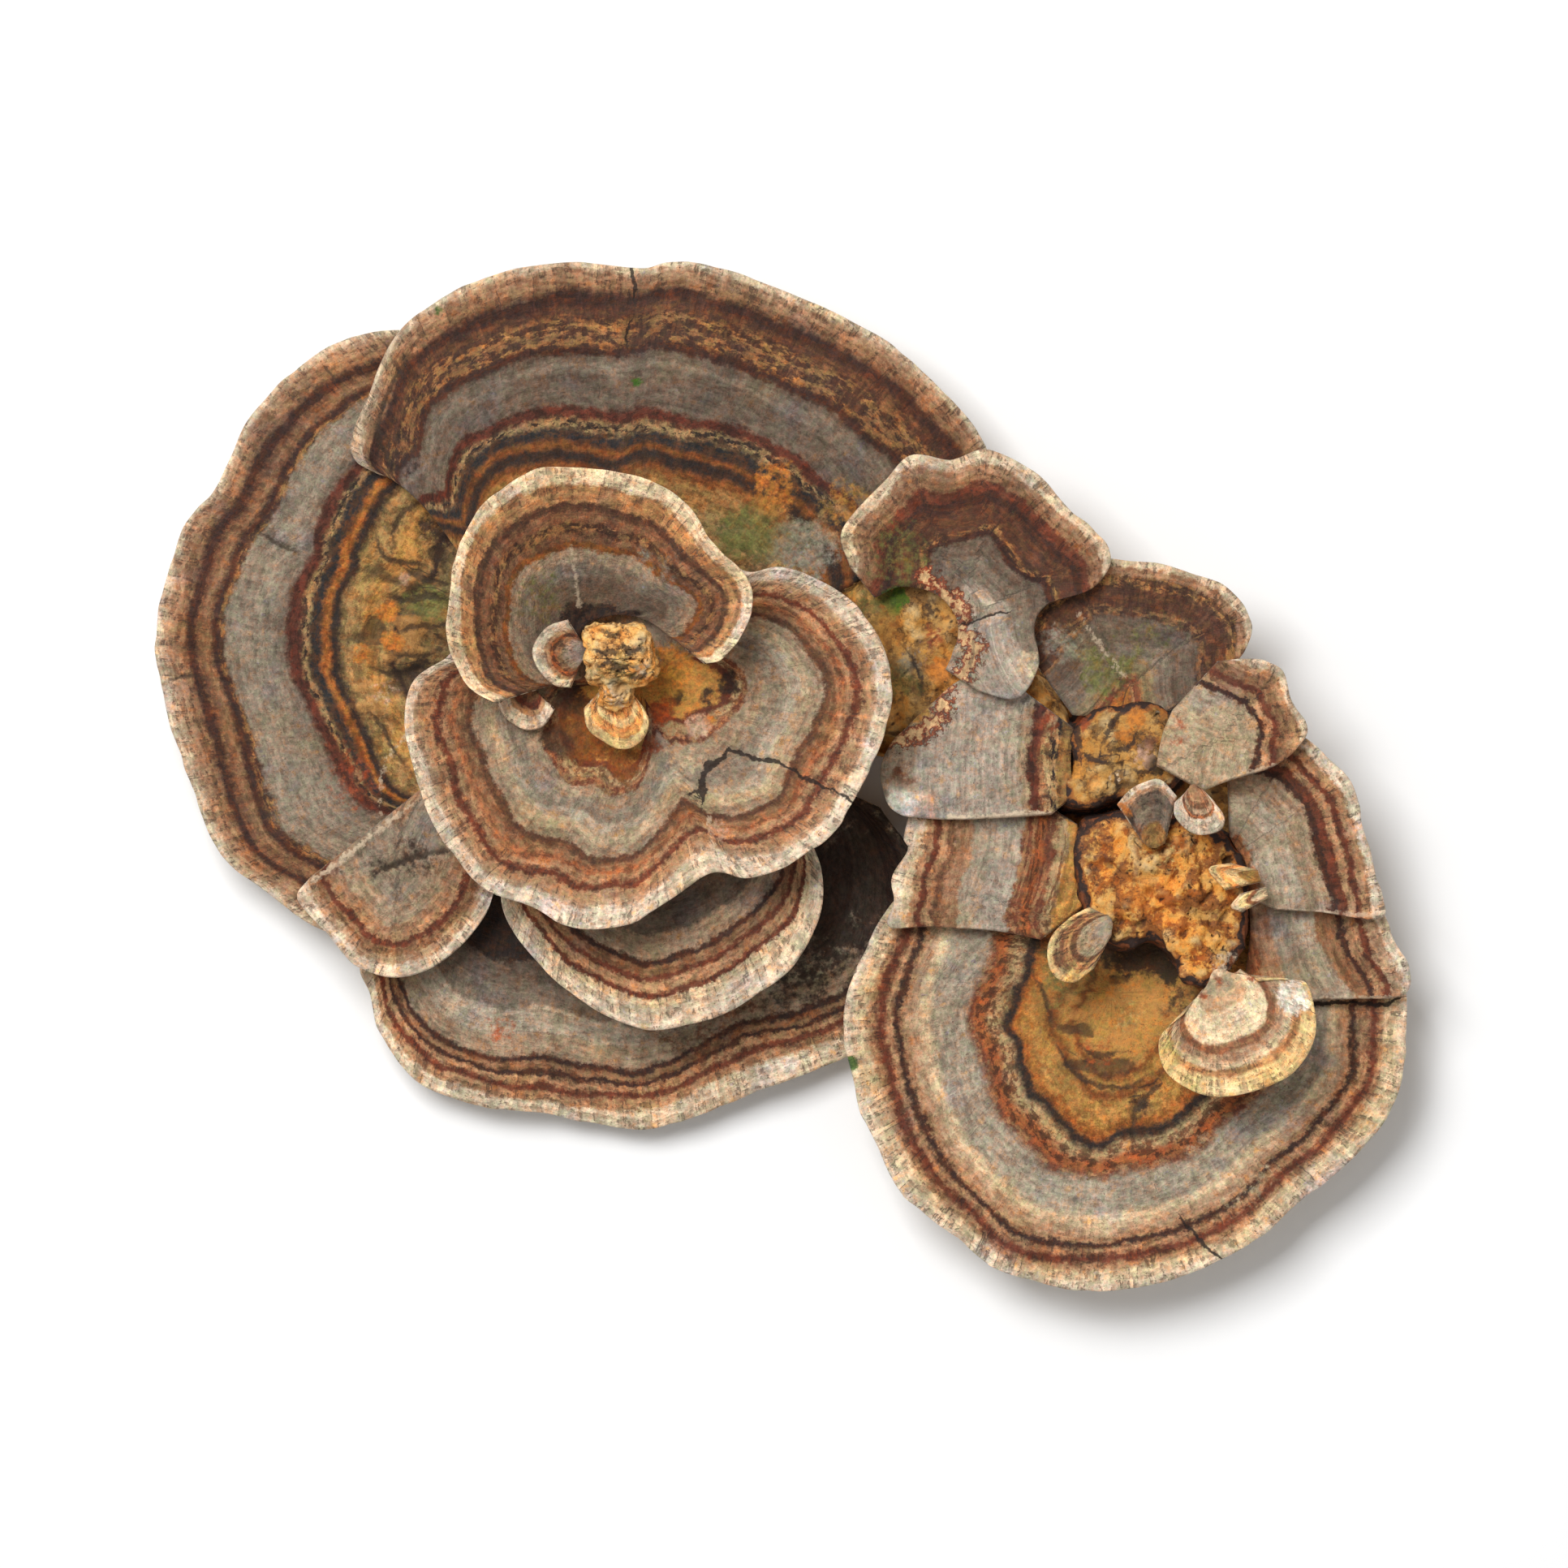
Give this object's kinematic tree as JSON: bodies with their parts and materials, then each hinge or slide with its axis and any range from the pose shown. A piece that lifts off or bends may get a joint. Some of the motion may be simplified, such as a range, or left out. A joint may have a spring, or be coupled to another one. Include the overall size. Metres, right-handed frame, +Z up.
{
  "type": "turkey tail fungus",
  "caption": "Cluster of thin, wavy, overlapping bracket caps in two rosettes with banded upper sides and pale undersides, cut off flat at its joined base.",
  "frame": {"origin": "middle of the bounding box, on the flat cut that the cluster rests on", "axes": "+X along the long side of the cluster, towards the dish-shaped cap; +Y towards the long top cap; +Z up, out of the caps' upper sides"},
  "size_m": [0.1551, 0.127, 0.0321],
  "materials": {
    "banded_cap": "matt, leathery, with concentric bands of brown, grey and tan and a pale rim",
    "pale_cap": "matt, leathery, cream with fine brown bands",
    "ochre_tissue": "matt, lumpy, ochre to orange",
    "cream_tissue": "matt, gnarled, cream-ochre with dark pits"
  },
  "bodies": {
    "root": {"base": "ochre_tissue", "centre_tissue": "ochre_tissue", "knob": "cream_tissue", "cap_bottom": "banded_cap", "cap_left_back": "banded_cap", "cap_top": "banded_cap", "cap_lower_left": "banded_cap", "cap_crescent": "banded_cap", "cap_bowl": "banded_cap", "cap_horseshoe": "banded_cap", "cap_bottom_right": "banded_cap", "cap_right_low": "banded_cap", "cap_left_lobe": "banded_cap", "cap_right": "banded_cap", "cap_middle": "banded_cap", "cap_upper_right": "banded_cap", "cap_side": "banded_cap", "cap_upper": "banded_cap", "knob_cap": "pale_cap", "small_cap_left": "pale_cap", "small_cap_under": "pale_cap", "stalked_cap": "pale_cap", "small_fan": "pale_cap", "small_sheet": "pale_cap", "white_cap": "pale_cap", "lobe_upper": "pale_cap", "lobe_lower": "pale_cap"}
  },
  "joints": []
}
